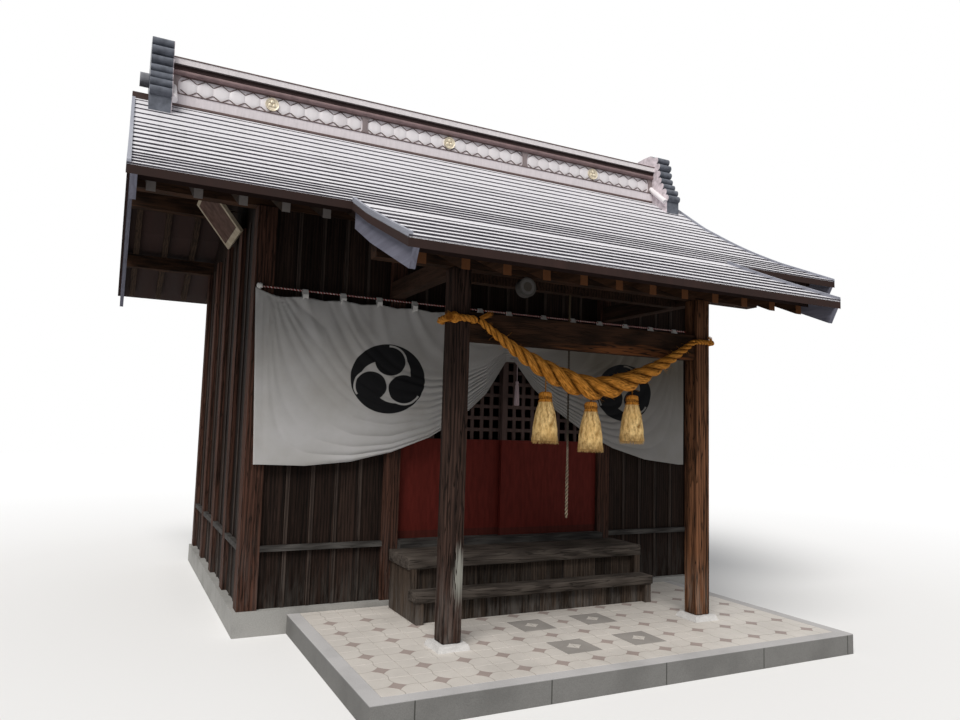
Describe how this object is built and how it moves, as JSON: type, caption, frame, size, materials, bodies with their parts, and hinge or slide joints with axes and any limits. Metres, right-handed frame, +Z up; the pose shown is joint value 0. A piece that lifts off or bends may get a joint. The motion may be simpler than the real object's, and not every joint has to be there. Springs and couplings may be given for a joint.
{
  "type": "shrine worship hall",
  "caption": "Boarded timber shrine hall with a front porch, long gabled roof with a tall decorated ridge, sliding lattice doors, steps, straw rope, tassels and a gathered banner.",
  "frame": {"origin": "on the ground, under the middle of the roof's plan", "axes": "+X to the right seen from the front, +Y from the porch into the hall, +Z up"},
  "size_m": [6.682, 6.536, 5.4144],
  "materials": {
    "concrete": "matte",
    "floor_tile": "matte",
    "mortar": "matte",
    "weathered_timber": "matte",
    "rafter_timber": "matte",
    "roof_sheet": "matte",
    "grey_board": "matte",
    "dark_board": "matte",
    "red_paint": "matte",
    "step_timber": "matte",
    "ridge_tile": "matte",
    "ridge_plank": "satin",
    "dark_tile": "matte",
    "gilt": "satin",
    "straw": "matte",
    "white_cloth": "matte",
    "red_cord": "matte",
    "bell_brass": "satin",
    "lamp_shade": "matte",
    "plaque_timber": "matte"
  },
  "bodies": {
    "hall": {"porch_platform": "concrete", "porch_tiles": "floor_tile", "post_pads": "mortar", "plinth": "concrete", "porch_posts": "weathered_timber", "porch_crossbeam": "weathered_timber", "porch_tie_beams": "weathered_timber", "porch_purlin": "weathered_timber", "porch_rafters": "rafter_timber", "porch_roof": "roof_sheet", "porch_bargeboards": "grey_board", "hall_posts": "weathered_timber", "door_posts": "weathered_timber", "front_walls": "dark_board", "front_wall_over_door": "dark_board", "side_walls": "dark_board", "rear_wall": "dark_board", "gable_walls": "dark_board", "waist_rails": "grey_board", "roof_beams": "weathered_timber", "hall_floor": "rafter_timber", "floor_joists": "weathered_timber", "floor_posts": "weathered_timber", "door_frame": "grey_board", "step_treads": "step_timber", "step_supports": "grey_board", "main_roof_front": "roof_sheet", "main_roof_rear": "roof_sheet", "main_rafters": "rafter_timber", "gable_bargeboards": "grey_board", "ridge_body": "ridge_tile", "ridge_cap": "ridge_plank", "ridge_ends": "dark_tile", "ridge_medallions": "gilt", "straw_rope": "straw", "rope_ties": "straw", "straw_tassels": "straw", "banner": "white_cloth", "banner_cord": "red_cord", "bell": "bell_brass", "bell_rope": "red_cord", "porch_lamp": "lamp_shade", "wall_plaque": "plaque_timber"},
    "left_leaf": {"door_left": "red_paint"},
    "right_leaf": {"door_right": "red_paint"}
  },
  "joints": [
    {"name": "left_door_slide", "type": "slide", "parent": "hall", "child": "left_leaf", "axis": [1, 0, 0], "range_m": [0, 1]},
    {"name": "right_door_slide", "type": "slide", "parent": "hall", "child": "right_leaf", "axis": [-1, 0, 0], "range_m": [0, 1]}
  ]
}
